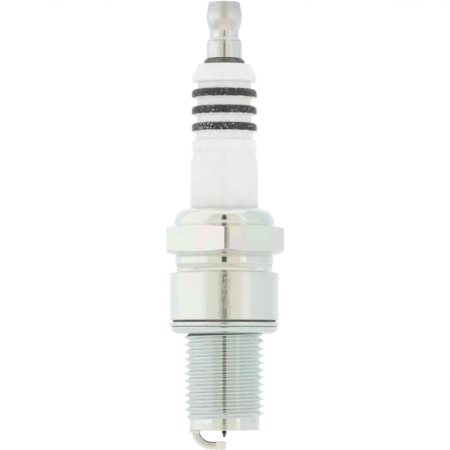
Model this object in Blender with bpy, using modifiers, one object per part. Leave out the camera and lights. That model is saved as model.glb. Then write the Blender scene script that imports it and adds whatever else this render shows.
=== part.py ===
"""Resistor spark plug: 14 mm thread, 19 mm reach, 20.3 mm hexagon, fine-wire iridium tip.

Every separate piece of the plug is one object, inside and out. The frame is in metres with
+Z up: the origin is on the plug's axis where the shell seats on the cylinder head (the
underside of its collar), +Z runs to the terminal, and the ground electrode is rooted on -X.
Lengths below are in millimetres and are scaled to metres as the meshes are made.
"""
import math

import bmesh
import bpy
from mathutils import Matrix, Vector

MM = 0.001
OBJECT_NAME = "spark_plug"

# Facets: sides of a turned piece, and the largest turn that one facet of a fillet takes.
SIDES = 28
SMALL_SIDES = 16
ARC_STEP = math.radians(50.0)
MERGE = 1e-6

# Clearances between neighbours.
GAP = 0.3
FINE_GAP = 0.05
NUT_CLEARANCE = 0.08

# Shell thread, M14 x 1.25, right-hand.
THREAD_MAJOR_R = 6.97
THREAD_ROOT_R = 6.18
THREAD_PITCH = 1.25
THREAD_START_Z = -1.97
THREAD_END_Z = -17.15
THREAD_START_ANGLE = math.radians(115.0)
CREST_SHARE = 0.14
UNDERCUT_R = 6.05
PILOT_R = 6.2

# Shell body.
SHELL_END_Z = -19.1
HEX_ACROSS_FLATS = 20.3
HEX_CORNER_R = 11.53
HEX_TOP_Z = 16.6
HEX_BOTTOM_Z = 11.42
HEX_CHAMFER = 0.72
HEX_FACE_R = 8.95
HEX_TURN = math.radians(2.5)
DOME_R = 8.75
DOME_TOP_Z = 19.45
COLLAR_R = 9.53
COLLAR_TOP_Z = 8.2
NECK_R = 8.38
NECK_BARREL_R = 8.64
SHELL_BORE_R = 7.6
SHELL_LEG_BORE_R = 4.85
SHELL_LEDGE_R = 3.75
SHELL_MOUTH_R = 4.9

# Insulator.
INSULATOR_TOP_Z = 44.7
HEAD_R = 5.65
HEAD_BOTTOM_Z = 41.5
NOSE_Z = -17.8
BODY_R = 5.95
TRUNK_R = 7.3
TRUNK_TOP_Z = 9.9
TRUNK_BOTTOM_Z = 4.2
LEG_R = 4.5
LEG_TOP_Z = 1.9
STEP_Z = -9.0
STEP_SLOPE = 0.75
NOSE_ROOT_R = 3.45
NOSE_R = 2.3
STUD_BORE_R = 2.1
ELECTRODE_BORE_R = 1.55
BORE_STEP_Z = -3.35

# Insulator ribs, top to bottom: upper wall, lower wall, radius, then the groove under the rib.
RIBS = (
    (40.30, 38.62, 5.72, 4.69),
    (37.35, 35.75, 5.72, 4.84),
    (34.35, 32.80, 5.72, 5.05),
    (31.36, 29.75, 5.68, 5.44),
)

# Terminal: M4 x 0.7 stud with a flange, and a removable nut to the 6.35 mm pattern.
STUD_R = 2.0
STUD_ROOT_R = 1.6
STUD_PITCH = 0.7
STUD_TOP_Z = 54.7
FLANGE_R = 3.67
FLANGE_TOP_Z = 45.62
SHANK_R = 1.75
SHANK_END_Z = 17.3
STUD_PILOT_R = 1.2
NUT_SEAT_Z = 45.7
NUT_TOP_Z = 55.65
NUT_R = 3.1

# Conductor column inside the insulator.
COLUMN_R = 1.85
SOCKET_R = 1.45
UPPER_SEAL_Z = (19.5, 14.6)
RESISTOR_Z = (14.3, 5.3)
LOWER_SEAL_Z = (5.0, -1.9)
ELECTRODE_TOP_Z = -0.2
ELECTRODE_R = 1.25
ELECTRODE_END_Z = -18.9
COPPER_R = 0.65
COPPER_END_Z = -16.5

# Firing end.
WELD_R = 0.41
WELD_END_Z = -19.78
TIP_R = 0.25
TIP_END_Z = -20.33
SPARK_GAP = 0.8
STRIP_THICKNESS = 1.4
STRIP_WIDTH = 2.6
STRIP_END_WIDTH = 1.5
STRIP_BEND_R = 2.9
STRIP_ROOT_X = -5.05
STRIP_TAPER_X = -1.4
STRIP_END_X = 0.3

# Packings round the insulator, and the crush gasket.
PACKING_R = 6.75
PACKING_WIRE_R = 0.5
PACKING_THICKNESS = 0.4
UPPER_PACKING_Z = 17.65
LOWER_PACKING_Z = 10.75
TALC_Z = (16.85, 11.55)
GASKET_R = 9.58
GASKET_LOWER_R = 9.34
GASKET_SEAM_Z = -1.14
GASKET_BOTTOM_Z = -2.36
GASKET_LIP_R = 6.75
GASKET_BORE_R = 7.15


# Scene, materials and shared geometry.


def clear_scene():
    for obj in list(bpy.data.objects):
        bpy.data.objects.remove(obj, do_unlink=True)


def make_collection(name):
    collection = bpy.data.collections.new(name)
    bpy.context.scene.collection.children.link(collection)
    return collection


def make_material(name, colour, roughness, metallic):
    material = bpy.data.materials.new(name)
    material.use_nodes = True
    shader = material.node_tree.nodes["Principled BSDF"]
    shader.inputs["Base Color"].default_value = (*colour, 1.0)
    shader.inputs["Roughness"].default_value = roughness
    shader.inputs["Metallic"].default_value = metallic
    material.diffuse_color = (*colour, 1.0)
    return material


def fillet(before, corner, after, radius):
    """Points of the arc that rounds a corner of an outline."""
    corner, before, after = Vector(corner), Vector(before), Vector(after)
    to_before = (before - corner).normalized()
    to_after = (after - corner).normalized()
    opening = to_before.angle(to_after)
    tangent = radius / math.tan(opening / 2)
    start = corner + to_before * tangent
    centre = corner + (to_before + to_after).normalized() * radius / math.sin(opening / 2)
    spoke = start - centre
    side = 1.0 if to_before.cross(to_after) > 0 else -1.0
    turn = math.pi - opening
    steps = max(1, round(turn / ARC_STEP))
    return [centre + Matrix.Rotation(-side * turn * i / steps, 2) @ spoke for i in range(steps + 1)]


def rounded(corners, closed):
    """Outline through (radius, z, fillet radius) corners, as (radius, z) points."""
    points = []
    last = len(corners) - 1
    for i, (r, z, radius) in enumerate(corners):
        if radius == 0 or (not closed and i in (0, last)):
            points.append(Vector((r, z)))
            continue
        before = corners[i - 1][:2]
        after = corners[(i + 1) % len(corners)][:2]
        points += fillet(before, (r, z), after, radius)
    return points


def turned(name, corners, sides, collection, origin_z=0.0):
    """Solid of revolution about Z. Its outline runs down the outer side, and ends on the axis
    or comes back up a bore."""
    closed = corners[0][0] > 0
    points = rounded(corners, closed)
    mesh = bpy.data.meshes.new(name)
    bm = bmesh.new()
    verts = [bm.verts.new((r * MM, 0.0, (z - origin_z) * MM)) for r, z in points]
    for a, b in zip(verts, verts[1:] + verts[:1] if closed else verts[1:]):
        bm.edges.new((a, b))
    bm.to_mesh(mesh)
    bm.free()
    obj = bpy.data.objects.new(name, mesh)
    obj.location.z = origin_z * MM
    collection.objects.link(obj)
    screw = obj.modifiers.new("Turn", "SCREW")
    screw.axis = "Z"
    screw.steps = screw.render_steps = sides
    screw.use_merge_vertices = True
    screw.merge_threshold = MERGE
    screw.use_smooth_shade = True
    return obj


def thread_ridge(name, major_r, root_r, pitch, top_z, bottom_z, start_angle, steps, collection):
    """Right-hand helical ridge with 60 degree flanks, sunk into its core at both run-outs."""
    sink = 0.2
    run_out_turns = 0.45
    buried_r = root_r - sink
    crest_half = pitch * CREST_SHARE / 2
    base_half = crest_half + (major_r - buried_r) * math.tan(math.radians(30))
    turns = (top_z - bottom_z) / pitch
    count = round(turns * steps)
    bm = bmesh.new()
    rings = []
    for i in range(count + 1):
        turn = turns * i / count
        height = min(1.0, turn / run_out_turns, (turns - turn) / run_out_turns)
        crest_r = root_r - sink / 2 + (major_r - root_r + sink / 2) * height
        angle = start_angle - math.tau * turn
        z = top_z - pitch * turn
        section = (
            (buried_r, z + base_half),
            (crest_r, z + crest_half),
            (crest_r, z - crest_half),
            (buried_r, z - base_half),
        )
        rings.append([
            bm.verts.new((r * math.cos(angle) * MM, r * math.sin(angle) * MM, corner_z * MM))
            for r, corner_z in section
        ])
    for upper, lower in zip(rings, rings[1:]):
        for k in range(4):
            bm.faces.new((upper[k], lower[k], lower[(k + 1) % 4], upper[(k + 1) % 4]))
    bm.faces.new(rings[0])
    bm.faces.new(rings[-1][::-1])
    bmesh.ops.recalc_face_normals(bm, faces=bm.faces)
    mesh = bpy.data.meshes.new(name)
    bm.to_mesh(mesh)
    bm.free()
    obj = bpy.data.objects.new(name, mesh)
    collection.objects.link(obj)
    return mark_cutter(obj)


def mark_cutter(obj):
    obj.hide_render = True
    obj.display_type = "WIRE"
    return obj


def combine(obj, tool, operation):
    boolean = obj.modifiers.new(operation.title(), "BOOLEAN")
    boolean.operation = operation
    boolean.solver = "EXACT"
    boolean.object = tool


def finish_piece(obj, material):
    """Gives a piece its material and smooth shading with crisp edges."""
    depsgraph = bpy.context.evaluated_depsgraph_get()
    mesh = bpy.data.meshes.new_from_object(obj.evaluated_get(depsgraph))
    mesh.name = obj.name
    obj.modifiers.clear()
    obj.data = mesh
    mesh.shade_smooth()
    mesh.set_sharp_from_angle(angle=math.radians(32))
    mesh.materials.clear()
    mesh.materials.append(material)
    return obj


# Shell, gasket and ground electrode.


def ledge_z(r):
    """Height of the shell's inner ledge: below the insulator's step by the packing ring."""
    return packing_z(r) - PACKING_THICKNESS - FINE_GAP


def packing_z(r):
    """Top of the seat packing, parallel to the insulator's step."""
    return STEP_Z - STEP_SLOPE * (LEG_R - r) - FINE_GAP


def metal_shell(parts, cutters):
    outline = (
        (BODY_R + GAP, DOME_TOP_Z, 0),
        (DOME_R, DOME_TOP_Z, 2.3),
        (DOME_R, 17.05, 0),
        (8.72, HEX_TOP_Z, 0),
        (HEX_FACE_R, HEX_TOP_Z, 0),
        (HEX_CORNER_R, HEX_TOP_Z - HEX_CHAMFER, 0),
        (HEX_CORNER_R, HEX_BOTTOM_Z + HEX_CHAMFER, 0),
        (HEX_FACE_R, HEX_BOTTOM_Z, 0),
        (8.44, HEX_BOTTOM_Z, 0),
        (NECK_BARREL_R, 10.7, 0),
        (NECK_BARREL_R, 9.75, 0),
        (NECK_R, 9.1, 0),
        (NECK_R, COLLAR_TOP_Z + 0.3, 0),
        (COLLAR_R, COLLAR_TOP_Z, 0.2),
        (COLLAR_R, 0, 0.12),
        (UNDERCUT_R, 0, 0),
        (UNDERCUT_R, -1.2, 0),
        (THREAD_ROOT_R, -1.35, 0),
        (THREAD_ROOT_R, -17.7, 0),
        (PILOT_R, -17.8, 0),
        (PILOT_R, SHELL_END_Z, 0.15),
        (SHELL_MOUTH_R, SHELL_END_Z, 0.1),
        (SHELL_MOUTH_R, -13.3, 0),
        (SHELL_LEDGE_R, -12.5, 0),
        (SHELL_LEDGE_R, ledge_z(SHELL_LEDGE_R), 0),
        (SHELL_LEG_BORE_R, ledge_z(SHELL_LEG_BORE_R), 0),
        (SHELL_LEG_BORE_R, LEG_TOP_Z - 0.15, 0),
        (SHELL_BORE_R, TRUNK_BOTTOM_Z - 0.15, 0),
        (SHELL_BORE_R, 18.3, 0.9),
        (BODY_R + GAP, 18.7, 0),
    )
    shell = turned("metal_shell", outline, SIDES, parts)
    for k in range(6):
        angle = HEX_TURN + math.radians(60 * k)
        combine(shell, flat_cutter(k, angle, cutters), "DIFFERENCE")
    thread = thread_ridge(
        "shell_thread_ridge", THREAD_MAJOR_R, THREAD_ROOT_R, THREAD_PITCH,
        THREAD_START_Z, THREAD_END_Z, THREAD_START_ANGLE, SIDES, cutters,
    )
    combine(shell, thread, "UNION")
    return finish_piece(shell, make_material("plated_steel", (0.80, 0.83, 0.80), 0.22, 1.0))


def flat_cutter(index, angle, cutters):
    """Slab outside one flat of the hexagon."""
    depth, width = 4.0, 16.0
    height = HEX_TOP_Z - HEX_BOTTOM_Z + 2.0
    mesh = bpy.data.meshes.new(f"hex_flat_cutter_{index + 1}")
    bm = bmesh.new()
    bmesh.ops.create_cube(bm, size=1.0)
    bmesh.ops.scale(bm, vec=(depth * MM, width * MM, height * MM), verts=bm.verts)
    bm.to_mesh(mesh)
    bm.free()
    cutter = bpy.data.objects.new(mesh.name, mesh)
    reach = HEX_ACROSS_FLATS / 2 + depth / 2
    cutter.location = (
        reach * math.cos(angle) * MM,
        reach * math.sin(angle) * MM,
        (HEX_TOP_Z + HEX_BOTTOM_Z) / 2 * MM,
    )
    cutter.rotation_euler.z = angle
    cutters.objects.link(cutter)
    return mark_cutter(cutter)


def gasket(parts):
    """Folded crush washer: two lobes with a seam outside, and a lip that keeps it captive."""
    outline = (
        (GASKET_LIP_R, -GAP, 0.15),
        (GASKET_R, -GAP, 0.35),
        (GASKET_R, GASKET_SEAM_Z + 0.1, 0.15),
        (9.1, GASKET_SEAM_Z, 0),
        (GASKET_LOWER_R, GASKET_SEAM_Z - 0.15, 0),
        (GASKET_LOWER_R, -1.55, 0),
        (8.95, -1.97, 0),
        (8.72, -2.18, 0),
        (8.0, GASKET_BOTTOM_Z, 0),
        (GASKET_BORE_R, GASKET_BOTTOM_Z, 0.15),
        (GASKET_BORE_R, -1.2, 0),
        (GASKET_LIP_R, -1.05, 0),
    )
    ring = turned("gasket", outline, SIDES, parts)
    return finish_piece(ring, make_material("gasket_steel", (0.82, 0.83, 0.84), 0.2, 1.0))


def ground_electrode(parts):
    """Bent strip: from the shell's end, round the bend, and under the centre electrode."""
    bend_steps = 8
    arm_z = TIP_END_Z - SPARK_GAP - STRIP_THICKNESS / 2
    bend_centre = Vector((STRIP_ROOT_X + STRIP_BEND_R, arm_z + STRIP_BEND_R))
    root_drop = bend_centre.y - (SHELL_END_Z - GAP)
    root_angle = math.asin(root_drop / STRIP_BEND_R)
    route = []
    for i in range(bend_steps + 1):
        angle = math.pi + root_angle + (math.pi / 2 - root_angle) * i / bend_steps
        x = bend_centre.x + STRIP_BEND_R * math.cos(angle)
        z = bend_centre.y + STRIP_BEND_R * math.sin(angle)
        route.append((x, z, STRIP_WIDTH))
    route.append((STRIP_TAPER_X, arm_z, STRIP_WIDTH))
    route.append((STRIP_END_X, arm_z, STRIP_END_WIDTH))

    mesh = bpy.data.meshes.new("ground_electrode")
    bm = bmesh.new()
    rows = [
        [bm.verts.new((x * MM, side * width / 2 * MM, z * MM)) for side in (-1, 1)]
        for x, z, width in route
    ]
    for (a, b), (c, d) in zip(rows, rows[1:]):
        bm.faces.new((a, b, d, c))
    bm.to_mesh(mesh)
    bm.free()
    strip = bpy.data.objects.new("ground_electrode", mesh)
    parts.objects.link(strip)
    solidify = strip.modifiers.new("Thickness", "SOLIDIFY")
    solidify.thickness = STRIP_THICKNESS * MM
    solidify.offset = 0.0
    solidify.use_even_offset = True
    return finish_piece(strip, make_material("ground_nickel", (0.62, 0.58, 0.53), 0.35, 1.0))


# Insulator and the packings that hold it.


def insulator(parts):
    outline = [
        (STUD_BORE_R, INSULATOR_TOP_Z, 0),
        (4.55, INSULATOR_TOP_Z, 0.3),
        (HEAD_R, 42.7, 1.2),
    ]
    r_above, z_above = HEAD_R, HEAD_BOTTOM_Z
    groove_r = RIBS[0][3]
    for upper_z, lower_z, rib_r, below_r in RIBS:
        outline += [
            (r_above, z_above, 0.35),
            (groove_r, z_above - 0.1, 0),
            (groove_r, upper_z + 0.1, 0),
            (rib_r, upper_z - 0.05, 0.5),
        ]
        r_above, z_above, groove_r = rib_r, lower_z, below_r
    outline += [
        (r_above, z_above, 0.6),
        (groove_r, 29.25, 0),
        (BODY_R, 27.2, 0),
        (BODY_R, TRUNK_TOP_Z, 0),
        (TRUNK_R, TRUNK_TOP_Z, 0.4),
        (TRUNK_R, TRUNK_BOTTOM_Z, 0),
        (LEG_R, LEG_TOP_Z, 0),
        (LEG_R, STEP_Z, 0),
        (NOSE_ROOT_R, STEP_Z - STEP_SLOPE * (LEG_R - NOSE_ROOT_R), 0),
        (NOSE_R, NOSE_Z, 0.4),
        (ELECTRODE_BORE_R, NOSE_Z, 0),
        (ELECTRODE_BORE_R, BORE_STEP_Z - 0.65, 0),
        (STUD_BORE_R, BORE_STEP_Z, 0),
    ]
    body = turned("insulator", outline, SIDES, parts)
    return finish_piece(body, make_material("alumina", (0.83, 0.83, 0.80), 0.12, 0.0))


def packing_ring(name, z, parts, material):
    """Wire ring pressed round the insulator at one end of the talc."""
    sides = 8
    ring = [
        (
            PACKING_R - PACKING_WIRE_R * math.cos(math.tau * (k + 0.5) / sides),
            z + PACKING_WIRE_R * math.sin(math.tau * (k + 0.5) / sides),
            0,
        )
        for k in range(sides)
    ]
    return finish_piece(turned(name, ring, SIDES, parts), material)


def packings(parts):
    wire = make_material("packing_steel", (0.45, 0.45, 0.46), 0.45, 1.0)
    packing_ring("upper_packing_ring", UPPER_PACKING_Z, parts, wire)
    packing_ring("lower_packing_ring", LOWER_PACKING_Z, parts, wire)

    inner_r, outer_r = BODY_R + GAP, SHELL_BORE_R - GAP
    talc_outline = (
        (inner_r, TALC_Z[0], 0),
        (outer_r, TALC_Z[0], 0),
        (outer_r, TALC_Z[1], 0),
        (inner_r, TALC_Z[1], 0),
    )
    talc = turned("talc_packing", talc_outline, SIDES, parts)
    finish_piece(talc, make_material("talc", (0.78, 0.76, 0.70), 0.9, 0.0))

    inner_r, outer_r = SHELL_LEDGE_R + FINE_GAP, SHELL_LEG_BORE_R - GAP
    seat_outline = (
        (inner_r, packing_z(inner_r), 0),
        (outer_r, packing_z(outer_r), 0),
        (outer_r, packing_z(outer_r) - PACKING_THICKNESS + FINE_GAP, 0),
        (inner_r, packing_z(inner_r) - PACKING_THICKNESS + FINE_GAP, 0),
    )
    seat = turned("seat_packing", seat_outline, SIDES, parts)
    finish_piece(seat, make_material("seat_copper", (0.72, 0.45, 0.33), 0.4, 1.0))


# Terminal and the conductors inside the insulator.


def terminal_stud(parts, cutters):
    outline = (
        (0, STUD_TOP_Z, 0),
        (STUD_ROOT_R - 0.2, STUD_TOP_Z, 0),
        (STUD_ROOT_R, STUD_TOP_Z - 0.25, 0),
        (STUD_ROOT_R, FLANGE_TOP_Z, 0),
        (3.28, FLANGE_TOP_Z, 0),
        (3.52, 45.36, 0),
        (FLANGE_R, INSULATOR_TOP_Z + FINE_GAP, 0),
        (SHANK_R, INSULATOR_TOP_Z + FINE_GAP, 0),
        (SHANK_R, UPPER_SEAL_Z[0] + GAP, 0),
        (STUD_PILOT_R, UPPER_SEAL_Z[0] + GAP, 0),
        (STUD_PILOT_R, SHANK_END_Z, 0),
        (0, SHANK_END_Z, 0),
    )
    stud = turned("terminal_stud", outline, SMALL_SIDES, parts)
    thread = thread_ridge(
        "stud_thread_ridge", STUD_R, STUD_ROOT_R, STUD_PITCH,
        STUD_TOP_Z - 0.6, FLANGE_TOP_Z + 0.8, 0.0, SMALL_SIDES, cutters,
    )
    combine(stud, thread, "UNION")
    return finish_piece(stud, make_material("stud_steel", (0.32, 0.32, 0.31), 0.35, 1.0))


def terminal_nut(parts):
    """Barrel nut. Its origin is at its seat on the stud's flange, on the axis it lifts along."""
    bore_r = STUD_R + NUT_CLEARANCE
    outline = (
        (bore_r + 0.15, NUT_TOP_Z, 0),
        (2.64, NUT_TOP_Z, 0.1),
        (3.15, 53.35, 0),
        (3.1, 52.45, 0),
        (2.57, 50.55, 0),
        (2.51, 49.45, 0),
        (2.98, 48.8, 0),
        (NUT_R, 48.4, 0),
        (NUT_R, NUT_SEAT_Z, 0.1),
        (bore_r + 0.25, NUT_SEAT_Z, 0),
        (bore_r, NUT_SEAT_Z + 0.3, 0),
        (bore_r, NUT_TOP_Z - 0.2, 0),
    )
    nut = turned("terminal_nut", outline, SMALL_SIDES, parts, origin_z=NUT_SEAT_Z)
    return finish_piece(nut, make_material("nut_nickel", (0.78, 0.77, 0.75), 0.22, 1.0))


def conductors(parts):
    glass = make_material("copper_glass", (0.40, 0.27, 0.22), 0.3, 0.3)
    socket_end = SHANK_END_Z - GAP
    upper_outline = (
        (0, socket_end, 0),
        (SOCKET_R, socket_end, 0),
        (SOCKET_R, UPPER_SEAL_Z[0], 0),
        (COLUMN_R, UPPER_SEAL_Z[0], 0),
        (COLUMN_R, UPPER_SEAL_Z[1], 0),
        (0, UPPER_SEAL_Z[1], 0),
    )
    finish_piece(turned("upper_glass_seal", upper_outline, SMALL_SIDES, parts), glass)

    resistor_outline = (
        (0, RESISTOR_Z[0], 0),
        (COLUMN_R, RESISTOR_Z[0], 0),
        (COLUMN_R, RESISTOR_Z[1], 0),
        (0, RESISTOR_Z[1], 0),
    )
    resistor = turned("resistor", resistor_outline, SMALL_SIDES, parts)
    finish_piece(resistor, make_material("resistor_mix", (0.06, 0.06, 0.06), 0.7, 0.0))

    socket_top = ELECTRODE_TOP_Z + GAP
    lower_outline = (
        (0, LOWER_SEAL_Z[0], 0),
        (COLUMN_R, LOWER_SEAL_Z[0], 0),
        (COLUMN_R, LOWER_SEAL_Z[1], 0),
        (SOCKET_R, LOWER_SEAL_Z[1], 0),
        (SOCKET_R, socket_top, 0),
        (0, socket_top, 0),
    )
    finish_piece(turned("lower_glass_seal", lower_outline, SMALL_SIDES, parts), glass)


def center_electrode(parts):
    """Nickel electrode, hollow from its head for the copper core."""
    core_bore_r = COPPER_R + 2 * FINE_GAP
    head_r = 1.15
    flange_z = LOWER_SEAL_Z[1] - GAP
    outline = (
        (0, COPPER_END_Z - 2 * FINE_GAP, 0),
        (core_bore_r, COPPER_END_Z - 2 * FINE_GAP, 0),
        (core_bore_r, ELECTRODE_TOP_Z, 0),
        (head_r, ELECTRODE_TOP_Z, 0),
        (head_r, flange_z, 0),
        (COLUMN_R, flange_z, 0),
        (COLUMN_R, BORE_STEP_Z + 0.25, 0),
        (ELECTRODE_R, BORE_STEP_Z - 0.45, 0),
        (ELECTRODE_R, -18.1, 0),
        (WELD_R, ELECTRODE_END_Z, 0),
        (0, ELECTRODE_END_Z, 0),
    )
    electrode = turned("center_electrode", outline, SMALL_SIDES, parts)
    finish_piece(electrode, make_material("electrode_nickel", (0.55, 0.53, 0.50), 0.35, 1.0))

    copper_outline = (
        (0, ELECTRODE_TOP_Z, 0),
        (COPPER_R, ELECTRODE_TOP_Z, 0),
        (COPPER_R, COPPER_END_Z + 0.4, 0),
        (0, COPPER_END_Z, 0),
    )
    copper = turned("electrode_copper_core", copper_outline, SMALL_SIDES, parts)
    finish_piece(copper, make_material("copper", (0.85, 0.50, 0.36), 0.25, 1.0))


def firing_tip(parts):
    weld_top = ELECTRODE_END_Z - FINE_GAP
    weld_outline = (
        (0, weld_top, 0),
        (WELD_R, weld_top, 0),
        (WELD_R, WELD_END_Z + 0.12, 0),
        (TIP_R + 0.05, WELD_END_Z, 0),
        (0, WELD_END_Z, 0),
    )
    weld = turned("tip_weld", weld_outline, SMALL_SIDES, parts)
    finish_piece(weld, make_material("weld_alloy", (0.25, 0.22, 0.18), 0.45, 1.0))

    tip_top = WELD_END_Z - FINE_GAP
    tip_outline = (
        (0, tip_top, 0),
        (TIP_R, tip_top, 0),
        (TIP_R, TIP_END_Z, 0.03),
        (0, TIP_END_Z, 0),
    )
    tip = turned("iridium_tip", tip_outline, SMALL_SIDES, parts)
    finish_piece(tip, make_material("iridium", (0.35, 0.34, 0.32), 0.3, 1.0))


def main():
    clear_scene()
    parts = make_collection(OBJECT_NAME)
    cutters = make_collection("cutters")
    metal_shell(parts, cutters)
    gasket(parts)
    ground_electrode(parts)
    insulator(parts)
    packings(parts)
    terminal_stud(parts, cutters)
    terminal_nut(parts)
    conductors(parts)
    center_electrode(parts)
    firing_tip(parts)
    frame = bpy.data.objects.new("plug_frame", None)
    parts.objects.link(frame)
    for piece in parts.objects:
        if piece is not frame:
            piece.parent = frame


main()
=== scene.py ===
"""The spark plug's looks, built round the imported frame: fine meshes, materials, studio, camera.

The frame is the CAD model's: metres, +Z up to the terminal, origin on the axis at the shell's
seat, the camera on the -Y side. Lengths here are in millimetres unless a name ends in _M.
"""

import math

import bmesh
import bpy
from mathutils import Matrix, Vector


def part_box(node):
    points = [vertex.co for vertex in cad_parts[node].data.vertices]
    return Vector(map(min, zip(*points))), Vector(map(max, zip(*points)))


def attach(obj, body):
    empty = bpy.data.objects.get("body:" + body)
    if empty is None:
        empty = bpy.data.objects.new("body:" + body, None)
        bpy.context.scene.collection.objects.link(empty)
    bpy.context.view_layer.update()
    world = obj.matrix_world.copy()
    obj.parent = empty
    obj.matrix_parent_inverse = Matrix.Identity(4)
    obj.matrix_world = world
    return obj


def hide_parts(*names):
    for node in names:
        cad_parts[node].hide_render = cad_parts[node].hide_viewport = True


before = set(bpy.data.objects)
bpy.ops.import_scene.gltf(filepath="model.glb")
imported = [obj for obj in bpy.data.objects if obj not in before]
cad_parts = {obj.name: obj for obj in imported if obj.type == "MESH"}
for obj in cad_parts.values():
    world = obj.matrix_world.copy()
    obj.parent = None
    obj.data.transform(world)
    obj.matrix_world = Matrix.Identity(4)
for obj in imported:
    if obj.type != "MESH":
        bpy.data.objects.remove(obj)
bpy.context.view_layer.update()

MM = 0.001
SIDES = 144  # facets round the shell, insulator and gasket
SMALL_SIDES = 72  # facets round the terminal and electrode pieces
ARC_STEP = math.radians(10)  # longest step along a fillet
GUARD = 0.03  # from a fillet's end to the extra point beside it
MERGE_M = 2e-8  # points nearer than this are one point
SHARP_ANGLE = math.radians(24)


def low_z(node):
    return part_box(node)[0].z / MM


def high_z(node):
    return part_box(node)[1].z / MM


# Driving sizes. Heights that the CAD pieces have are read from the frame.

SHELL_TOP = high_z("metal_shell")
SHELL_END = low_z("metal_shell")
INSULATOR_TOP = high_z("insulator")
NOSE_END = low_z("insulator")
NUT_SEAT = low_z("terminal_nut")
NUT_TOP = high_z("terminal_nut")
STUD_TOP = high_z("terminal_stud")
GASKET_TOP = high_z("gasket")
GASKET_BOTTOM = low_z("gasket")
TIP_END = low_z("iridium_tip")
ARM_BOTTOM = low_z("ground_electrode")
STRIP_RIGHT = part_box("ground_electrode")[1].x / MM

BODY_R = 5.95
HEAD_R, HEAD_BOTTOM = 5.65, 41.60
DOME_R = 8.74
COLLAR_R, COLLAR_TOP = 9.52, 8.2
NECK_R = 8.38
HEX_ACROSS_FLATS = 20.24
HEX_CORNER_R = 11.4
HEX_TOP, HEX_BOTTOM = 16.6, 11.42
HEX_FACE_R = 8.95
HEX_TURN = math.radians(2.5)
THREAD_PITCH = 1.25
THREAD_ROOT_R, THREAD_MAJOR_R = 6.18, 6.96
THREAD_CREST_Z = -2.37
THREAD_TOP, THREAD_BOTTOM = -1.35, -17.75
THREAD_START_Z, THREAD_END_Z = -2.14, -17.3
UNDERCUT_END = -1.3
PILOT_R = 6.19
STUD_PITCH = 0.7
STUD_CREST_Z = 50.0
STUD_ROOT_R, STUD_MAJOR_R = 1.62, 1.99
STUD_FLANGE_TOP = 45.62

# Ribs of the insulator, top to bottom: upper edge, lower edge, radius, groove radius below.
RIBS = (
    (40.30, 38.70, 5.71, 4.69),
    (37.35, 35.75, 5.71, 4.84),
    (34.35, 32.80, 5.71, 5.05),
    (31.36, 29.75, 5.68, 5.44),
)
GLAZED_RIBS = 3


# Mesh building.


def fillet(before, corner, after, radius):
    """Points of the arc that rounds a corner of an outline."""
    corner, before, after = Vector(corner), Vector(before), Vector(after)
    to_before = (before - corner).normalized()
    to_after = (after - corner).normalized()
    opening = to_before.angle(to_after)
    start = corner + to_before * radius / math.tan(opening / 2)
    centre = corner + (to_before + to_after).normalized() * radius / math.sin(opening / 2)
    spoke = start - centre
    side = 1.0 if to_before.cross(to_after) > 0 else -1.0
    turn = math.pi - opening
    steps = max(2, math.ceil(turn / ARC_STEP))
    return [centre + Matrix.Rotation(-side * turn * i / steps, 2) @ spoke for i in range(steps + 1)]


def beside(point, towards):
    """A point just off a fillet's end, which keeps the straight stretch's shading straight."""
    way = Vector(towards) - point
    return [point + way.normalized() * GUARD] if way.length > 3 * GUARD else []


def rounded(corners, closed):
    """Outline through (radius, z, fillet radius) corners, as (radius, z) points."""
    points = []
    last = len(corners) - 1
    for i, (r, z, radius) in enumerate(corners):
        if radius == 0 or (not closed and i in (0, last)):
            points.append(Vector((r, z)))
            continue
        before = corners[i - 1][:2]
        after = corners[(i + 1) % len(corners)][:2]
        arc = fillet(before, (r, z), after, radius)
        points += beside(arc[0], before) + arc + beside(arc[-1], after)
    return points


def ring_points(r, z, sides):
    """Ring of points, in metres, or the one point of an outline's corner on the axis."""
    if r == 0:
        return [(0.0, 0.0, z * MM)]
    return [
        (r * math.cos(math.tau * k / sides) * MM, r * math.sin(math.tau * k / sides) * MM, z * MM)
        for k in range(sides)
    ]


def revolve(bm, corners, sides, closed=False):
    """Turns an outline that runs down its outer side. Its ends may be left open."""
    rings = [[bm.verts.new(p) for p in ring_points(r, z, sides)] for r, z in rounded(corners, closed)]
    pairs = list(zip(rings, rings[1:] + rings[:1] if closed else rings[1:]))
    for upper, lower in pairs:
        for k in range(sides):
            n = (k + 1) % sides
            corners_of_face = [
                upper[k % len(upper)],
                lower[k % len(lower)],
                lower[n % len(lower)],
                upper[n % len(upper)],
            ]
            unique = list(dict.fromkeys(corners_of_face))
            if len(unique) > 2:
                bm.faces.new(unique)


def thread_section(pitch, depth):
    """One pitch of a 60 degree thread, root to root, as (share of the pitch, share of the depth)."""
    crest_half = 0.065 * pitch
    flank = depth * math.tan(math.radians(30))
    root_blend = 0.12 * pitch
    crest_blend = 0.9 * root_blend
    corners = (
        (0.0, -pitch / 2, 0),
        (0.0, -crest_half - flank, root_blend),
        (depth, -crest_half, crest_blend),
        (depth, crest_half, crest_blend),
        (0.0, crest_half + flank, root_blend),
        (0.0, pitch / 2, 0),
    )
    return [(z / pitch, rise / depth) for rise, z in rounded(corners, closed=False)][:-1]


def ease(value):
    """Smooth step from 0 to 1."""
    t = min(1.0, max(0.0, value))
    return t * t * (3 - 2 * t)


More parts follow.
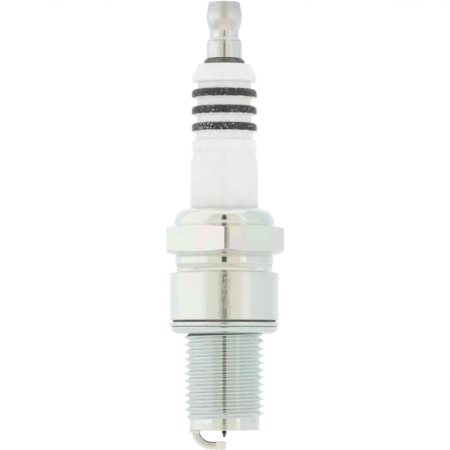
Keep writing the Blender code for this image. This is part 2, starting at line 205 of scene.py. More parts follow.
def threaded(bm, sides, pitch, crest_z, core_r, depth, top_z, bottom_z, start_z, end_z, inward=False):
    """Right-hand thread on a round core between two plain rings, fading in below start_z and out
    above end_z. crest_z is a crest's height at +X. An inward thread is cut out of a bore.

    Turns past either end lie squashed on the end ring, where the merge of doubles removes them.
    """
    section = thread_section(pitch, depth)
    fade_in, fade_out = 0.25 * pitch, 0.9 * pitch
    turns_above, turns_below = 2, 5
    turns = range(-turns_above, math.ceil((top_z - bottom_z) / pitch) + turns_below)
    turn_zero_z = crest_z + pitch * math.ceil((top_z - crest_z) / pitch)
    columns = []
    for k in range(sides):
        angle = math.tau * k / sides
        column = []
        for turn in turns:
            turn_crest = turn_zero_z + pitch * k / sides - pitch * turn
            height = ease((start_z - turn_crest) / fade_in) * ease((turn_crest - end_z) / fade_out)
            for share, rise in section:
                z = turn_crest - pitch * share
                r = core_r + depth * rise * height if bottom_z < z < top_z else core_r
                z = min(top_z, max(bottom_z, z))
                column.append(bm.verts.new((r * math.cos(angle) * MM, r * math.sin(angle) * MM, z * MM)))
        columns.append(column)
    for k in range(sides):
        left = columns[k]
        right = columns[(k + 1) % sides]
        shift = len(section) if k == sides - 1 else 0
        for j in range(shift, len(left) - 1):
            face = (left[j], left[j + 1], right[j + 1 - shift], right[j - shift])
            bm.faces.new(face[::-1] if inward else face)


def make_piece(name, bm, body, materials, replaced=(), choose=None):
    """Welds the mesh, shades it, gives it its materials and hangs it on its CAD body.

    choose takes a polygon and gives the index of its material.
    """
    bmesh.ops.remove_doubles(bm, verts=bm.verts, dist=MERGE_M)
    mesh = bpy.data.meshes.new(name)
    bm.to_mesh(mesh)
    bm.free()
    mesh.shade_smooth()
    mesh.set_sharp_from_angle(angle=SHARP_ANGLE)
    for material in materials:
        mesh.materials.append(material)
    if choose:
        for polygon in mesh.polygons:
            polygon.material_index = choose(polygon)
    piece = bpy.data.objects.new(name, mesh)
    bpy.context.scene.collection.objects.link(piece)
    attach(piece, body)
    if replaced:
        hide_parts(*replaced)


# Materials. Each is a small node graph in object space.


class Graph:
    """A material whose nodes are added and joined by short calls."""

    def __init__(self, name, metallic, roughness):
        self.material = bpy.data.materials.new(name)
        self.material.use_nodes = True
        self.tree = self.material.node_tree
        self.shader = self.tree.nodes["Principled BSDF"]
        self.shader.inputs["Metallic"].default_value = metallic
        self.shader.inputs["Roughness"].default_value = roughness

    def add(self, kind, inputs=(), **settings):
        """Adds a node. An input is a value, or a socket to link."""
        node = self.tree.nodes.new(kind)
        for key, value in settings.items():
            setattr(node, key, value)
        for key, value in dict(inputs).items():
            if isinstance(value, bpy.types.NodeSocket):
                self.tree.links.new(value, node.inputs[key])
            else:
                node.inputs[key].default_value = value
        return node

    def position(self, scale=(1, 1, 1)):
        """Object position times scale."""
        coords = self.add("ShaderNodeTexCoord")
        mapping = self.add("ShaderNodeMapping", {"Vector": coords.outputs["Object"], "Scale": scale})
        return mapping.outputs["Vector"]

    def noise(self, scale, per_mm, detail=3.0, roughness=0.55):
        """Noise with per_mm features a millimetre. A large scale along an axis makes it finer there."""
        stretch = tuple(s / MM for s in scale)
        node = self.add("ShaderNodeTexNoise", {
            "Vector": self.position(stretch), "Scale": per_mm, "Detail": detail, "Roughness": roughness,
        })
        return node.outputs["Fac"]

    def ramp(self, value, stops):
        """Colour ramp through (place, colour) stops. A new ramp has its first two stops already."""
        node = self.add("ShaderNodeValToRGB", {"Fac": value})
        elements = node.color_ramp.elements
        for i, (place, colour) in enumerate(stops):
            element = elements[i] if i < 2 else elements.new(place)
            element.position = place
            element.color = (*colour, 1.0)
        return node.outputs["Color"]

    def math(self, operation, *operands):
        node = self.add("ShaderNodeMath", dict(enumerate(operands)), operation=operation)
        return node.outputs["Value"]

    def mix(self, factor, a, b):
        """Colour a where factor is 0 and colour b where it is 1. All three are sockets."""
        factor_at, a_at, b_at, result_at = 0, 6, 7, 2
        inputs = {factor_at: factor, a_at: a, b_at: b}
        return self.add("ShaderNodeMix", inputs, data_type="RGBA").outputs[result_at]

    def map_range(self, value, from_min, from_max, to_min=0.0, to_max=1.0):
        node = self.add("ShaderNodeMapRange", {
            "Value": value, "From Min": from_min, "From Max": from_max, "To Min": to_min, "To Max": to_max,
        })
        return node.outputs["Result"]

    def spread(self, noise, low, high):
        """Maps noise, which keeps near 0.5, on to a range."""
        return self.map_range(noise, 0.3, 0.7, low, high)

    def height_above_seat(self):
        return self.add("ShaderNodeSeparateXYZ", {"Vector": self.position()}).outputs["Z"]

    def bump(self, height, depth_mm):
        node = self.add("ShaderNodeBump", {"Height": height, "Distance": depth_mm * MM, "Strength": 1.0})
        return node.outputs["Normal"]

    def finish(self, colour, roughness=None, normal=None):
        for key, value in (("Base Color", colour), ("Roughness", roughness), ("Normal", normal)):
            if value is not None:
                self.tree.links.new(value, self.shader.inputs[key])
        return self.material


def tint_ramp(graph, base, fac, strength):
    """Faint interference colours of a thin chromate film, in patches."""

    def tinted(*share):
        return tuple(min(1.0, c * (1.0 + k * strength)) for c, k in zip(base, share))

    blue, warm = tinted(-1, 0, 1), tinted(1, 0.7, -1)
    green, pink = tinted(-0.7, 1, -0.3), tinted(1, -0.5, 0)
    return graph.ramp(fac, ((0.30, blue), (0.70, warm), (0.42, green), (0.50, base), (0.60, pink)))


def plated_metal(name, base, tint, roughness, marks_per_mm, marks_depth_mm, grain=0.15):
    """Bright plated steel with a patchy tint and tool marks, marks_per_mm along each axis.

    grain is the share of fine relief on top of the marks.
    """
    graph = Graph(name, 1.0, roughness)
    patches = graph.noise((1, 1, 0.6), 0.16, detail=2.0)
    colour = tint_ramp(graph, base, patches, tint)
    marks = graph.noise(marks_per_mm, 1.0, detail=2.0, roughness=0.5)
    fine = graph.noise((1, 1, 1), 9.0, detail=2.0)
    worn = graph.spread(graph.noise((1, 1, 1), 1.3, detail=4.0), roughness * 0.8, roughness * 1.25)
    height = graph.math("ADD", marks, graph.math("MULTIPLY", fine, grain))
    return graph.finish(colour, worn, graph.bump(height, marks_depth_mm))


ZINC = (0.825, 0.835, 0.80)


# The shell's materials, in the order of shell_materials().
TURNED, ROLLED, HEX_FLAT, THREADED, COLLAR = range(5)


def shell_materials():
    return [
        plated_metal("zinc_turned", ZINC, 0.022, 0.15, (3.0, 3.0, 6.0), 0.018),
        plated_metal("zinc_rolled", ZINC, 0.025, 0.10, (0.5, 0.5, 2.0), 0.0015),
        plated_metal("zinc_hex_flat", (0.85, 0.85, 0.815), 0.075, 0.22, (2.4, 2.4, 0.8), 0.0012, 0.03),
        plated_metal("zinc_thread", (0.79, 0.82, 0.815), 0.018, 0.07, (0.8, 0.8, 4.0), 0.001),
        plated_metal("zinc_collar", ZINC, 0.03, 0.16, (4.0, 4.0, 1.4), 0.028),
    ]


def glazed_ceramic():
    """White glazed alumina with dark, flecked glaze bands over the upper ribs."""
    graph = Graph("glazed_alumina", 0.0, 0.14)
    low, high = 26.0, INSULATOR_TOP
    waver, bare_foot, over_top, soft_edge = 0.35, 0.15, 0.02, 0.06
    wobble = graph.math("MULTIPLY", graph.math("SUBTRACT", graph.noise((1, 1, 1), 1.2), 0.5), waver * MM)
    height = graph.math("ADD", graph.height_above_seat(), wobble)
    place = graph.map_range(height, low * MM, high * MM)
    bare, banded = (0.0, 0.0, 0.0), (1.0, 1.0, 1.0)
    edge = soft_edge / (high - low)
    stops = []
    for upper, lower, _, _ in RIBS[:GLAZED_RIBS]:
        start = (lower + bare_foot - low) / (high - low)
        end = (upper + over_top - low) / (high - low)
        stops += [(start - edge, bare), (start + edge, banded), (end - edge, banded), (end + edge, bare)]
    band = graph.ramp(place, sorted(stops))

    cloud = graph.noise((1, 1, 1), 0.5, detail=3.0)
    body = graph.ramp(cloud, ((0.35, (0.80, 0.80, 0.785)), (0.65, (0.835, 0.835, 0.82))))
    clusters = graph.spread(graph.noise((1, 1, 1), 0.28, detail=1.0), -0.06, 0.05)
    fleck = graph.math("ADD", graph.noise((1, 1, 1.4), 3.2, detail=2.5, roughness=0.7), clusters)
    dark = graph.ramp(fleck, (
        (0.0, (0.022, 0.022, 0.021)), (0.56, (0.030, 0.030, 0.028)),
        (0.62, (0.12, 0.12, 0.115)), (0.67, (0.60, 0.60, 0.59)),
    ))
    colour = graph.mix(band, body, dark)
    orange_peel = graph.noise((1, 1, 1), 1.6, detail=2.0)
    band_roughness = 0.06
    rough = graph.math("MULTIPLY_ADD", band, band_roughness, graph.spread(orange_peel, 0.11, 0.17))
    return graph.finish(colour, rough, graph.bump(orange_peel, 0.004))


def simple_metal(name, dark, light, roughness, per_mm, depth_mm):
    """Plain metal with a mottled tone and matching fine relief."""
    graph = Graph(name, 1.0, roughness)
    mottle = graph.noise((1, 1, 1), per_mm, detail=5.0, roughness=0.6)
    colour = graph.ramp(mottle, ((0.33, dark), (0.67, light)))
    worn = graph.spread(mottle, roughness * 1.3, roughness * 0.8)
    return graph.finish(colour, worn, graph.bump(mottle, depth_mm))


def nut_nickel():
    """Nickel plate, bright on the nut's foot and waist, duller and darker towards its top."""
    graph = Graph("nut_nickel", 1.0, 0.2)
    barrel_from, cone_from, waver = 51.2, 53.2, 1.0
    mottle = graph.noise((1, 1, 0.5), 1.2, detail=5.0, roughness=0.6)
    streaks = graph.noise((0.6, 0.6, 3.0), 1.2, detail=4.0, roughness=0.6)
    wobble = graph.math("MULTIPLY", graph.math("SUBTRACT", mottle, 0.5), waver * MM)
    place = graph.math("ADD", graph.height_above_seat(), wobble)
    barrel = graph.map_range(place, barrel_from * MM, (barrel_from + 1.0) * MM)
    cone = graph.map_range(place, cone_from * MM, (cone_from + 1.0) * MM)
    bright = graph.ramp(mottle, ((0.33, (0.725, 0.715, 0.705)), (0.67, (0.83, 0.82, 0.805))))
    dull = graph.ramp(streaks, ((0.33, (0.60, 0.60, 0.595)), (0.67, (0.74, 0.74, 0.735))))
    colour = graph.mix(cone, bright, dull)
    barrel_roughness, cone_roughness = 0.14, 0.12
    worn = graph.math("MULTIPLY_ADD", barrel, barrel_roughness, graph.spread(mottle, 0.26, 0.16))
    worn = graph.math("MULTIPLY_ADD", cone, cone_roughness, worn)
    return graph.finish(colour, worn, graph.bump(mottle, 0.011))


def grainy(name, dark, light, roughness, per_mm, depth_mm):
    """Matt mineral material: pressed powder, glass or resistor mix."""
    graph = Graph(name, 0.0, roughness)
    grain = graph.noise((1, 1, 1), per_mm, detail=6.0, roughness=0.7)
    colour = graph.ramp(grain, ((0.35, dark), (0.65, light)))
    return graph.finish(colour, None, graph.bump(grain, depth_mm))


# Pieces.


def shell_outline():
    """The shell's section without its thread: from the thread's lower end round the pilot, up the
    bore, over the crimped lip and down the outside to the thread's upper end.
    """
    return (
        (THREAD_ROOT_R, THREAD_BOTTOM, 0),
        (PILOT_R, THREAD_BOTTOM - 0.1, 0),
        (PILOT_R, THREAD_BOTTOM - 0.2, 0),
        (PILOT_R, SHELL_END, 0.12),
        (4.9, SHELL_END, 0.1),
        (4.9, -13.3, 0.3),
        (3.75, -12.5, 0.2),
        (3.75, -10.06, 0.1),
        (4.85, -9.24, 0),
        (4.85, 1.75, 0),
        (7.6, 4.05, 0),
        (7.6, 18.3, 0.9),
        (BODY_R + 0.14, 18.72, 0.1),
        (BODY_R + 0.12, SHELL_TOP - 0.01, 0.12),
        (8.05, SHELL_TOP - 0.01, 2.3),
        (DOME_R + 0.05, 17.40, 0.8),
        (DOME_R - 0.01, HEX_TOP, 0.06),
        (HEX_FACE_R, HEX_TOP, 0.3),
        (HEX_CORNER_R, HEX_TOP - 0.7, 0.08),
        (HEX_CORNER_R, HEX_BOTTOM + 0.7, 0.08),
        (HEX_FACE_R, HEX_BOTTOM, 0.3),
        (8.44, HEX_BOTTOM, 0.1),
        (8.66, 10.75, 1.0),
        (8.67, 9.75, 0.8),
        (8.44, 9.1, 1.0),
        (NECK_R, COLLAR_TOP + 0.25, 0.14),
        (COLLAR_R, COLLAR_TOP, 0.22),
        (COLLAR_R, 0, 0.1),
        (6.05, 0, 0.1),
        (6.05, -1.2, 0),
        (THREAD_ROOT_R, THREAD_TOP, 0),
    )


def hex_cutter(angle):
    """Block that cuts one flat, facing angle, off the hexagon's round blank."""
    depth, width, height = 4.0, 16.0, 8.0
    middle_z = 14.0
    bm = bmesh.new()
    bmesh.ops.create_cube(bm, size=1.0)
    bmesh.ops.scale(bm, vec=(depth * MM, width * MM, height * MM), verts=bm.verts)
    reach = (HEX_ACROSS_FLATS + depth) / 2 * MM
    place = Matrix.Translation((reach * math.cos(angle), reach * math.sin(angle), middle_z * MM))
    bmesh.ops.transform(bm, matrix=place @ Matrix.Rotation(angle, 4, "Z"), verts=bm.verts)
    mesh = bpy.data.meshes.new("hex_cutter")
    bm.to_mesh(mesh)
    bm.free()
    cutter = bpy.data.objects.new("hex_cutter", mesh)
    bpy.context.scene.collection.objects.link(cutter)
    return cutter


def cut_hexagon(bm):
    """The same mesh with the six flats cut off its round blank. Frees the mesh it is given."""
    mesh = bpy.data.meshes.new("shell_blank")
    bm.to_mesh(mesh)
    bm.free()
    blank = bpy.data.objects.new("shell_blank", mesh)
    bpy.context.scene.collection.objects.link(blank)
    cutters = [hex_cutter(HEX_TURN + math.radians(60 * k)) for k in range(6)]
    for cutter in cutters:
        boolean = blank.modifiers.new("Flat", "BOOLEAN")
        boolean.operation = "DIFFERENCE"
        boolean.solver = "EXACT"
        boolean.object = cutter
    depsgraph = bpy.context.evaluated_depsgraph_get()
    result = bmesh.new()
    result.from_object(blank, depsgraph)
    for obj in [blank, *cutters]:
        bpy.data.objects.remove(obj, do_unlink=True)
    return result


def place_of(polygon):
    """A face's distance from the axis and height, in millimetres."""
    centre = polygon.center / MM
    return math.hypot(centre.x, centre.y), centre.z


def shell_zone(polygon):
    """Which of the shell's materials a face takes."""
    radius, z = place_of(polygon)
    hex_bottom, hex_top, hex_r = HEX_BOTTOM - 0.05, HEX_TOP + 0.05, HEX_FACE_R - 0.1
    neck_bottom, lip_r = COLLAR_TOP + 0.2, BODY_R + 0.3
    if z < UNDERCUT_END:
        return THREADED if z > THREAD_BOTTOM else TURNED
    if hex_bottom < z < hex_top and radius > hex_r:
        return HEX_FLAT
    if neck_bottom < z < HEX_BOTTOM or z > hex_top and radius > lip_r:
        return ROLLED
    return COLLAR if 0 < z < COLLAR_TOP and radius > NECK_R else TURNED


def metal_shell():
    bm = bmesh.new()
    revolve(bm, shell_outline(), SIDES)
    threaded(
        bm, SIDES, THREAD_PITCH, THREAD_CREST_Z, THREAD_ROOT_R, THREAD_MAJOR_R - THREAD_ROOT_R,
        top_z=THREAD_TOP, bottom_z=THREAD_BOTTOM, start_z=THREAD_START_Z, end_z=THREAD_END_Z,
    )
    bmesh.ops.remove_doubles(bm, verts=bm.verts, dist=MERGE_M)
    bm = cut_hexagon(bm)
    make_piece("shell_body", bm, "plug", shell_materials(), ("metal_shell",), shell_zone)


def insulator():
    outline = [
        (2.1, INSULATOR_TOP, 0),
        (4.55, INSULATOR_TOP, 0.3),
        (HEAD_R, 42.7, 1.2),
    ]
    lower_edge_r, upper_edge_r, groove_top_r, groove_foot_r = 0.45, 0.75, 0.28, 0.36
    straight = 0.3  # left between a rib's fillet and the groove's
    r_above, z_above = HEAD_R, HEAD_BOTTOM
    groove_r = RIBS[0][3]
    for upper, lower, rib_r, below_r in RIBS:
        outline += [
            (r_above, z_above, min(lower_edge_r, r_above - groove_r - straight)),
            (groove_r, z_above - 0.1, groove_top_r),
            (groove_r, upper + 0.1, groove_foot_r),
            (rib_r, upper - 0.02, min(upper_edge_r, rib_r - groove_r - straight)),
        ]
        r_above, z_above, groove_r = rib_r, lower, below_r
    outline += [
        (r_above, z_above, 0.6),
        (groove_r, 29.25, 0.6),
        (BODY_R, 27.4, 2.5),
        (BODY_R, 9.9, 0.3),
        (7.3, 9.9, 0.4),
        (7.3, 4.2, 0.2),
        (4.5, 1.9, 0.2),
        (4.5, -9.0, 0.1),
        (3.45, -9.79, 0.1),
        (2.3, NOSE_END, 0.45),
        (1.55, NOSE_END, 0.1),
        (1.55, -4.0, 0),
        (2.1, -3.35, 0),
    ]
    bm = bmesh.new()
    revolve(bm, outline, SIDES, closed=True)
    make_piece("insulator_body", bm, "plug", [glazed_ceramic()], ("insulator",))


def crush_gasket():
    """Folded washer. A land inside its rim meets the collar, so no light shows between them. The land's
    top and the fold's seam take a dark material, which is painted shade for the crevice under the collar
    and for the seam.
    """
    rim_r, land_r, land_z = 9.57, 9.0, -0.02
    seam_r, seam_top, seam_bottom = 9.22, -1.09, -1.2
    outline = (
        (6.75, land_z, 0.1),
        (land_r, land_z, 0),
        (land_r, GASKET_TOP, 0),
        (rim_r, GASKET_TOP, 0.34),
        (rim_r, -1.04, 0.3),
        (9.14, -1.14, 0.04),
        (9.33, -1.24, 0.08),
        (9.33, -1.5, 0.25),
        (8.97, -1.97, 0.3),
        (8.72, -2.16, 0.1),
        (8.0, GASKET_BOTTOM, 0.2),
        (7.15, GASKET_BOTTOM, 0.15),
        (7.15, -1.2, 0.05),
        (6.75, -1.05, 0.1),
    )
    bm = bmesh.new()
    revolve(bm, outline, SIDES, closed=True)
    bright = plated_metal("gasket_plated", (0.80, 0.82, 0.81), 0.03, 0.14, (3.0, 3.0, 6.0), 0.028)
    # Dark steel colour for the land's top under the collar and for the fold's seam: painted shade where
    # these crevices fall dark.
    painted_shade = simple_metal("gasket_painted_shade", (0.14, 0.14, 0.135), (0.26, 0.26, 0.25), 0.5, 2.0, 0.004)

    # Faces in the gap under the collar and in the seam take the painted shade material.
    def zone(polygon):
        radius, z = place_of(polygon)
        in_gap = z > GASKET_TOP - 0.01 and radius < land_r + 0.02
        in_seam = seam_bottom < z < seam_top and radius < seam_r
        return int(in_gap or in_seam)

    make_piece("crush_gasket", bm, "gasket", [bright, painted_shade], ("gasket",), zone)


def terminal_nut():
    """Barrel nut. Its bore clears the stud's crests, and its thread is cut outwards from the bore."""
    bore_r, groove_depth = STUD_MAJOR_R + 0.1, 0.3
    thread_top, thread_bottom = NUT_TOP - 0.25, NUT_SEAT + 0.3
    outline = (
        (bore_r, thread_top, 0),
        (bore_r + 0.17, NUT_TOP, 0.03),
        (2.66, NUT_TOP, 0.12),
        (3.14, 53.35, 1.2),
        (3.09, 52.45, 1.0),
        (2.56, 50.55, 1.5),
        (2.50, 49.42, 0.35),
        (2.97, 48.87, 0.1),
        (2.87, 48.77, 0.03),
        (3.01, 48.66, 0.06),
        (3.09, 48.3, 0.4),
        (3.09, NUT_SEAT, 0.12),
        (bore_r + 0.25, NUT_SEAT, 0.05),
        (bore_r, thread_bottom, 0),
    )
    bm = bmesh.new()
    revolve(bm, outline, SMALL_SIDES)
    threaded(
        bm, SMALL_SIDES, STUD_PITCH, STUD_CREST_Z, bore_r, groove_depth, top_z=thread_top,
        bottom_z=thread_bottom, start_z=NUT_TOP - 0.3, end_z=NUT_SEAT + 0.4, inward=True,
    )
    make_piece("barrel_nut", bm, "terminal_nut", [nut_nickel()], ("terminal_nut",))


def terminal_stud():
    """Threaded end, flange on the insulator's top and shank down to the upper glass seal."""
    thread_top, thread_bottom = STUD_TOP - 0.3, STUD_FLANGE_TOP + 0.33
    head = (
        (0, STUD_TOP, 0),
        (STUD_ROOT_R - 0.2, STUD_TOP, 0.05),
        (STUD_ROOT_R, thread_top, 0),
    )
    below = (
        (STUD_ROOT_R, thread_bottom, 0),
        (STUD_ROOT_R + 0.1, STUD_FLANGE_TOP, 0.1),
        (3.25, STUD_FLANGE_TOP, 0.12),
        (3.50, 45.36, 0.15),
        (3.64, INSULATOR_TOP + 0.05, 0.05),
        (1.75, INSULATOR_TOP + 0.05, 0),
        (1.75, 19.8, 0.05),
        (1.2, 19.8, 0),
        (1.2, 17.3, 0.1),
        (0, 17.3, 0),
    )
    bm = bmesh.new()
    revolve(bm, head, SMALL_SIDES)
    revolve(bm, below, SMALL_SIDES)
    threaded(
        bm, SMALL_SIDES, STUD_PITCH, STUD_CREST_Z, STUD_ROOT_R, STUD_MAJOR_R - STUD_ROOT_R,
        top_z=thread_top, bottom_z=thread_bottom, start_z=thread_top - 0.1, end_z=thread_bottom + 0.2,
    )
    steel = simple_metal("stud_steel", (0.15, 0.15, 0.14), (0.26, 0.26, 0.245), 0.34, 1.6, 0.006)
    make_piece("stud", bm, "plug", [steel], ("terminal_stud",))


def centre_electrode():
    outline = (
        (0, -16.6, 0),
        (0.75, -16.6, 0),
        (0.75, -0.2, 0),
        (1.15, -0.2, 0),
        (1.15, -2.2, 0),
        (1.85, -2.2, 0),
        (1.85, -3.1, 0),
        (1.25, -3.8, 0),
        (1.25, -18.1, 0.3),
        (0.45, -18.93, 0.1),
        (0, -18.93, 0),
    )
    bm = bmesh.new()
    revolve(bm, outline, SMALL_SIDES)
    nickel = simple_metal("electrode_nickel", (0.42, 0.40, 0.37), (0.55, 0.53, 0.49), 0.3, 2.0, 0.004)
    make_piece("centre_electrode_body", bm, "plug", [nickel], ("center_electrode",))


def weld_bead():
    """The fused bead is a little lumpy: its lumps wind round it."""
    lumps, lump_depth, winding_per_mm = 7, 0.018, 9.0
    outline = (
        (0, -18.92, 0),
        (0.40, -18.92, 0.05),
        (0.405, -19.5, 0.2),
        (0.33, -19.82, 0.06),
        (0, -19.82, 0),
    )
    bm = bmesh.new()
    revolve(bm, outline, SMALL_SIDES)
    for vert in bm.verts:
        angle = math.atan2(vert.co.y, vert.co.x)
        radius = math.hypot(vert.co.x, vert.co.y)
        if radius > 0.1 * MM:
            wave = math.cos(lumps * angle + winding_per_mm * vert.co.z / MM)
            shrink = 1 - lump_depth * MM / radius * (0.5 + 0.5 * wave)
            vert.co.x *= shrink
            vert.co.y *= shrink
    dark = simple_metal("weld_dark", (0.05, 0.045, 0.035), (0.15, 0.135, 0.11), 0.42, 4.0, 0.01)
    make_piece("weld_bead", bm, "plug", [dark], ("tip_weld",))


def iridium_tip():
    outline = (
        (0, -19.80, 0),
        (0.24, -19.80, 0),
        (0.24, TIP_END, 0.03),
        (0, TIP_END, 0),
    )
    bm = bmesh.new()
    revolve(bm, outline, SMALL_SIDES)
    grey = simple_metal("iridium_grey", (0.12, 0.115, 0.10), (0.24, 0.23, 0.21), 0.3, 5.0, 0.004)
    make_piece("fine_wire_tip", bm, "plug", [grey], ("iridium_tip",))


def rounded_section(half_thick, half_wide, radius):
    """Closed rounded rectangle as (thickness, width) offsets, counter-clockwise."""
    steps = 5
    points = []
    for quarter, (sx, sy) in enumerate(((1, 1), (-1, 1), (-1, -1), (1, -1))):
        centre = (sx * (half_thick - radius), sy * (half_wide - radius))
        for i in range(steps + 1):
            angle = math.pi / 2 * (quarter + i / steps)
            points.append((centre[0] + radius * math.cos(angle), centre[1] + radius * math.sin(angle)))
    return points


def loft(bm, sections):
    """Skin over closed sections of equal length, with flat ends."""
    rings = [[bm.verts.new([c * MM for c in point]) for point in section] for section in sections]
    for a, b in zip(rings, rings[1:]):
        for k in range(len(a)):
            n = (k + 1) % len(a)
            bm.faces.new((a[k], a[n], b[n], b[k]))
    bm.faces.new(rings[0][::-1])
    bm.faces.new(rings[-1])
    bmesh.ops.recalc_face_normals(bm, faces=bm.faces)


def ground_electrode():
    """Strip with rolled edges, bent to reach under the tip, its end trimmed to a blunt point."""
    thick, wide, end_wide = 1.39, 2.58, 1.1
    rolled_edge, cut_edge, end_edge = 0.28, 0.1, 0.07
    bend_r, bend_steps = 2.9, 24
    level = math.pi / 2
    root_x = -5.05
    arm_z = ARM_BOTTOM + thick / 2 + 0.005
    taper_x = -1.4
    centre = Vector((root_x + bend_r, arm_z + bend_r))
    first_turn = math.asin((centre.y - SHELL_END - 0.05) / bend_r)
    stations = []
    for i in range(bend_steps + 1):
        turn = first_turn + (level - first_turn) * i / bend_steps
        x = centre.x - bend_r * math.cos(turn)
        z = centre.y - bend_r * math.sin(turn)
        stations.append((x, z, turn, wide, rolled_edge))
    stations += [
        (taper_x - 0.05, arm_z, level, wide, rolled_edge),
        (taper_x, arm_z, level, wide, cut_edge),
        (STRIP_RIGHT - 0.04, arm_z, level, end_wide, cut_edge),
        (STRIP_RIGHT - 0.005, arm_z, level, end_wide - 0.08, end_edge),
    ]
    sections = []
    for x, z, turn, width, radius in stations:
        outward = Vector((-math.cos(turn), -math.sin(turn)))
        sections.append([
            (x + outward.x * t, w, z + outward.y * t)
            for t, w in rounded_section(thick / 2, width / 2, radius)
        ])
    bm = bmesh.new()
    loft(bm, sections)
    nickel = simple_metal("ground_nickel", (0.89, 0.86, 0.795), (0.96, 0.94, 0.88), 0.3, 1.1, 0.003)
    make_piece("ground_strip", bm, "plug", [nickel], ("ground_electrode",))

    flash_x, flash_edge = root_x - 0.05, 0.3
    flash = [
        [(flash_x + t, w, z) for t, w in rounded_section(half_x, half_y, flash_edge)]
        for z, half_x, half_y in (
            (SHELL_END + 0.06, 0.88, 1.42),
            (SHELL_END - 0.1, 0.98, 1.52),
            (SHELL_END - 0.35, 0.96, 1.48),
            (SHELL_END - 0.5, 0.8, 1.38),
        )
    ]
    bm = bmesh.new()
    loft(bm, flash)
    make_piece("ground_weld_flash", bm, "plug", [nickel])


def dress_hidden_nodes():
    """Sealed inner pieces keep their CAD shapes and get their own procedural materials."""
    glass = grainy("copper_glass", (0.30, 0.17, 0.13), (0.50, 0.34, 0.27), 0.35, 2.5, 0.01)
    packing = simple_metal("packing_steel", (0.36, 0.36, 0.37), (0.50, 0.50, 0.51), 0.4, 2.0, 0.006)
    resistor = grainy("resistor_mix", (0.03, 0.03, 0.03), (0.09, 0.09, 0.085), 0.75, 3.0, 0.02)
    talc = grainy("talc_powder", (0.70, 0.68, 0.62), (0.82, 0.80, 0.74), 0.95, 4.0, 0.02)
    seat = simple_metal("seat_copper", (0.62, 0.36, 0.26), (0.78, 0.50, 0.37), 0.4, 2.0, 0.006)
    core = simple_metal("core_copper", (0.72, 0.40, 0.28), (0.86, 0.52, 0.38), 0.3, 2.0, 0.004)
    looks = {
        "upper_glass_seal": glass,
        "lower_glass_seal": glass,
        "resistor": resistor,
        "talc_packing": talc,
        "upper_packing_ring": packing,
        "lower_packing_ring": packing,
        "seat_packing": seat,
        "electrode_copper_core": core,
    }
    for node, material in looks.items():
        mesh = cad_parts[node].data
        mesh.materials.clear()
        mesh.materials.append(material)


# Studio. Cards reflect in the metal and stay out of the picture.

FLOOR_Z_M = -0.055


def emission(name, colour):
    material = bpy.data.materials.new(name)
    material.use_nodes = True
    tree = material.node_tree
    tree.nodes.remove(tree.nodes["Principled BSDF"])
    emitter = tree.nodes.new("ShaderNodeEmission")
    emitter.inputs["Color"].default_value = (*colour, 1.0)
    emitter.inputs["Strength"].default_value = 1.0
    tree.links.new(emitter.outputs["Emission"], tree.nodes["Material Output"].inputs["Surface"])
    return material


def stage_sheet(name, corners_m, material):
    """Flat stage object through four corners."""
    mesh = bpy.data.meshes.new(name)
    mesh.from_pydata(corners_m, [], [(0, 1, 2, 3)])
    mesh.materials.append(material)
    sheet = bpy.data.objects.new(name, mesh)
    bpy.context.scene.collection.objects.link(sheet)
    return sheet


def card(name, corners_m, colour):
    """Glowing stage card, seen only in reflections."""
    sheet = stage_sheet(name, corners_m, emission(name + "_light", colour))
    sheet.visible_camera = False
    sheet.visible_shadow = False
    sheet.visible_diffuse = False


def upright_card(name, distance_m, from_deg, to_deg, low_m, high_m, colour):
    """Upright card that spans a range of bearings round the plug, 0 being the camera's side."""
    ends = []
    for degrees in (from_deg, to_deg):
        angle = math.radians(degrees)
        ends.append((distance_m * math.sin(angle), -distance_m * math.cos(angle)))
    (x0, y0), (x1, y1) = ends
    card(name, ((x0, y0, low_m), (x1, y1, low_m), (x1, y1, high_m), (x0, y0, high_m)), colour)


def level_corners(low_xy_m, high_xy_m, z_m):
    (x0, y0), (x1, y1) = low_xy_m, high_xy_m
    return (x0, y0, z_m), (x1, y0, z_m), (x1, y1, z_m), (x0, y1, z_m)


def flat_card(name, low_xy_m, high_xy_m, colour, lift_m):
    """Card lying just above the floor."""
    card(name, level_corners(low_xy_m, high_xy_m, FLOOR_Z_M + lift_m), colour)


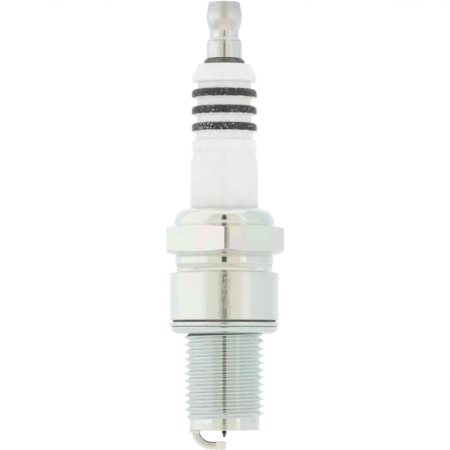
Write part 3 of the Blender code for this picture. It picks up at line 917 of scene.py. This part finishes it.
def studio():
    """White world, a floor, and cards for what the photographer's tent and floor reflect."""
    world = bpy.data.worlds.new("studio_white")
    bpy.context.scene.world = world
    world.use_nodes = True
    background = world.node_tree.nodes["Background"]
    background.inputs["Color"].default_value = (1.0, 1.0, 1.0, 1.0)
    background.inputs["Strength"].default_value = 1.0

    upright_card("camera_front", 0.615, -5.8, 5.8, -0.029, 0.80, (0.085, 0.085, 0.08))
    upright_card("tent_mouth", 0.78, -36.0, 36.0, FLOOR_Z_M, 1.2, (0.82, 0.81, 0.72))
    seam_m, seam_top_m, seam_half_deg = 0.74, 1.3, 0.4
    for side_name, side in (("left", -1), ("right", 1)):
        for bearing in (36.5, 41.0):
            middle = side * bearing
            upright_card(
                f"tent_seam_{bearing:.0f}_{side_name}", seam_m, middle - seam_half_deg,
                middle + seam_half_deg, FLOOR_Z_M, seam_top_m, (0.45, 0.47, 0.45),
            )
    wall_m, wall_top_m = 0.80, 1.4
    for name, from_deg, to_deg, colour in (
        ("right_wall_front", 52.0, 90.0, (0.80, 0.84, 0.83)),
        ("right_wall_back", 90.0, 126.0, (0.74, 0.80, 0.83)),
        ("left_wall", -118.0, -72.0, (1.03, 1.03, 0.98)),
        ("right_corner", 126.0, 156.0, (0.83, 0.88, 0.96)),
        ("left_corner", -156.0, -118.0, (0.90, 0.93, 1.0)),
    ):
        upright_card(name, wall_m, from_deg, to_deg, FLOOR_Z_M, wall_top_m, colour)
    lift_m = 0.001
    flat_card("floor_all_round", (-0.6, -0.60), (0.6, 0.50), (0.80, 0.82, 0.82), lift_m / 2)
    flat_card("front_floor_far", (-0.5, -0.60), (0.5, -0.18), (0.86, 0.84, 0.79), lift_m)
    flat_card("front_floor_near", (-0.5, -0.18), (0.5, -0.08), (0.72, 0.68, 0.60), lift_m)
    flat_card("under_plug", (-0.08, -0.08), (0.08, 0.10), (0.80, 0.84, 0.84), lift_m)

    graph = Graph("floor_white", 0.0, 0.9)
    tone = graph.ramp(graph.noise((1, 1, 1), 0.02), ((0.3, (0.93, 0.93, 0.93)), (0.7, (0.95, 0.95, 0.95))))
    graph.shader.inputs["Emission Color"].default_value = (1.0, 1.0, 1.0, 1.0)
    graph.shader.inputs["Emission Strength"].default_value = 0.12
    graph.shader.inputs["Specular IOR Level"].default_value = 0.0
    half_m = 12.0
    corners = level_corners((-half_m, -half_m), (half_m, half_m), FLOOR_Z_M)
    stage_sheet("floor", corners, graph.finish(tone))


def camera():
    """Long lens, aimed a little upwards at the plug's middle."""
    data = bpy.data.cameras.new("camera")
    data.sensor_width = 36.0
    data.lens = 270.5
    data.clip_start = 0.01
    data.clip_end = 60.0
    obj = bpy.data.objects.new("camera", data)
    bpy.context.scene.collection.objects.link(obj)
    x_m, y_m, z_m = 0.00012, -0.59, -0.0071
    aim_z_m = 0.01663
    obj.location = (x_m, y_m, z_m)
    pitch = math.atan2(aim_z_m - z_m, -y_m)
    obj.rotation_euler = (math.pi / 2 + pitch, 0.0, 0.0)
    bpy.context.scene.camera = obj


bpy.context.scene.view_settings.view_transform = "Standard"
camera()
metal_shell()
crush_gasket()
insulator()
terminal_stud()
terminal_nut()
centre_electrode()
weld_bead()
iridium_tip()
ground_electrode()
dress_hidden_nodes()
studio()
